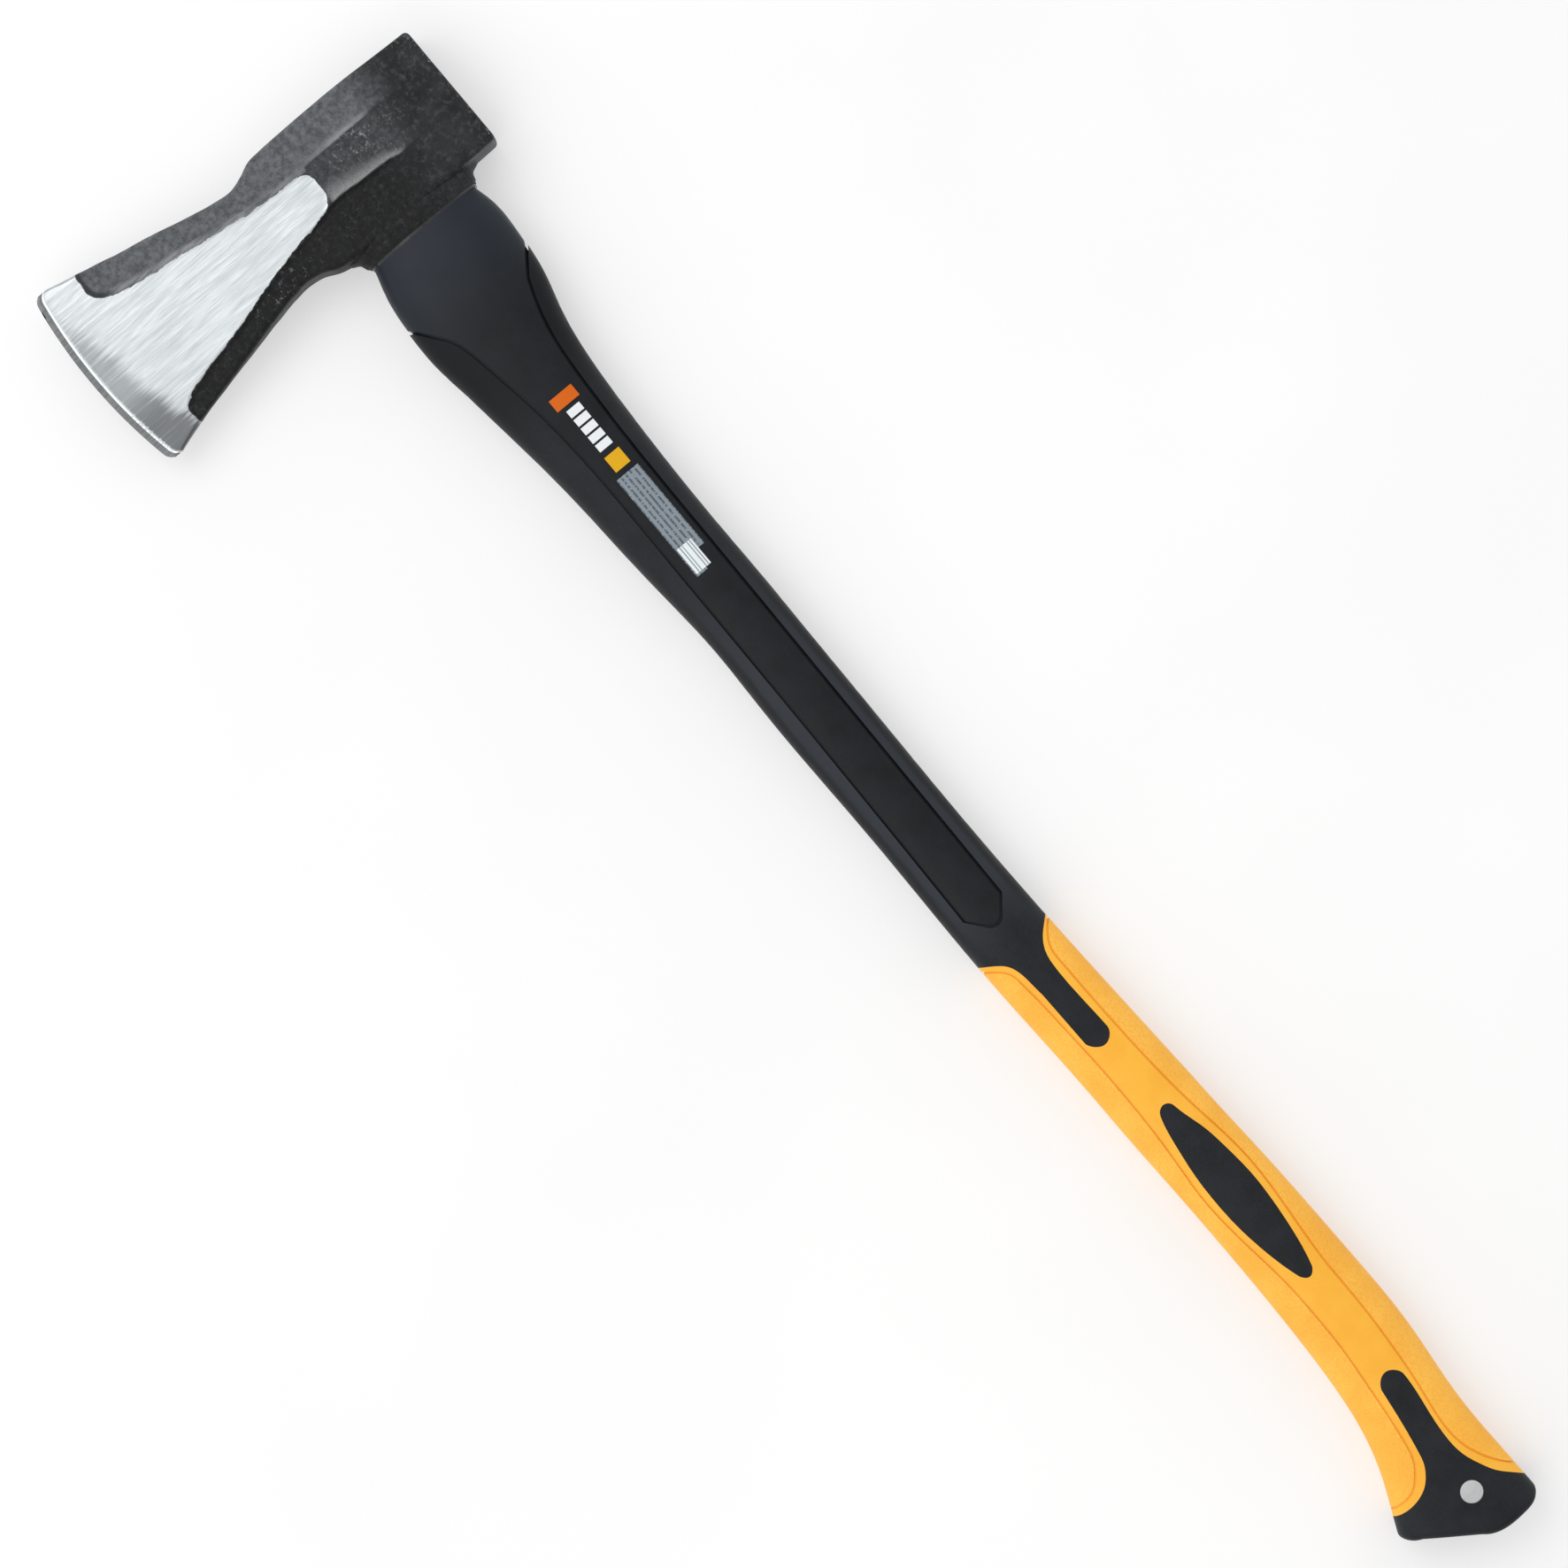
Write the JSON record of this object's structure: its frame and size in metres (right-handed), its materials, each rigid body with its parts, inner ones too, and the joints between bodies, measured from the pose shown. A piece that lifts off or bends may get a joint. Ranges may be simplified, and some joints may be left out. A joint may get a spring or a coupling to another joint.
{
  "type": "splitting axe",
  "caption": "Long-handled splitting axe: forged wedge head with ground bit, moulded fibreglass handle with two-tone grip and hanging hole.",
  "frame": {"origin": "centre of the bounding box in plan, at the lowest point of the lower cheek", "axes": "+X along the handle from hand end to head, +Y toward the cutting edge, +Z out of the upper cheek; the axe lies on its side"},
  "size_m": [0.9219, 0.2284, 0.0392],
  "materials": {
    "head_forged": "black forge finish, cheeks and bit ground bright",
    "resin": "glossy dark bonding resin",
    "fibreglass": "pultruded glass-fibre rod",
    "jacket_plastic": "satin moulded, slightly blue black",
    "sleeve_rubber": "matt soft-touch black",
    "grip_rubber": "matt soft-touch yellow-orange with fine texture on the outer zones",
    "eyelet_metal": "thin drawn tube",
    "print_orange": "printed foil",
    "print_white": "printed foil",
    "print_yellow": "printed foil",
    "print_grey": "printed foil with fine print lines",
    "print_patch": "printed foil with plain bars"
  },
  "bodies": {
    "root": {"axe_head": "head_forged", "eye_resin": "resin", "fibreglass_core": "fibreglass", "handle_jacket": "jacket_plastic", "outer_sleeve": "sleeve_rubber", "butt_cap": "sleeve_rubber", "grip_overmould": "grip_rubber", "hole_eyelet": "eyelet_metal", "print_weight_tag": "print_orange", "print_name_bars": "print_white", "print_colour_chip": "print_yellow", "print_info_strip": "print_grey", "print_code_patch": "print_patch"}
  },
  "joints": []
}
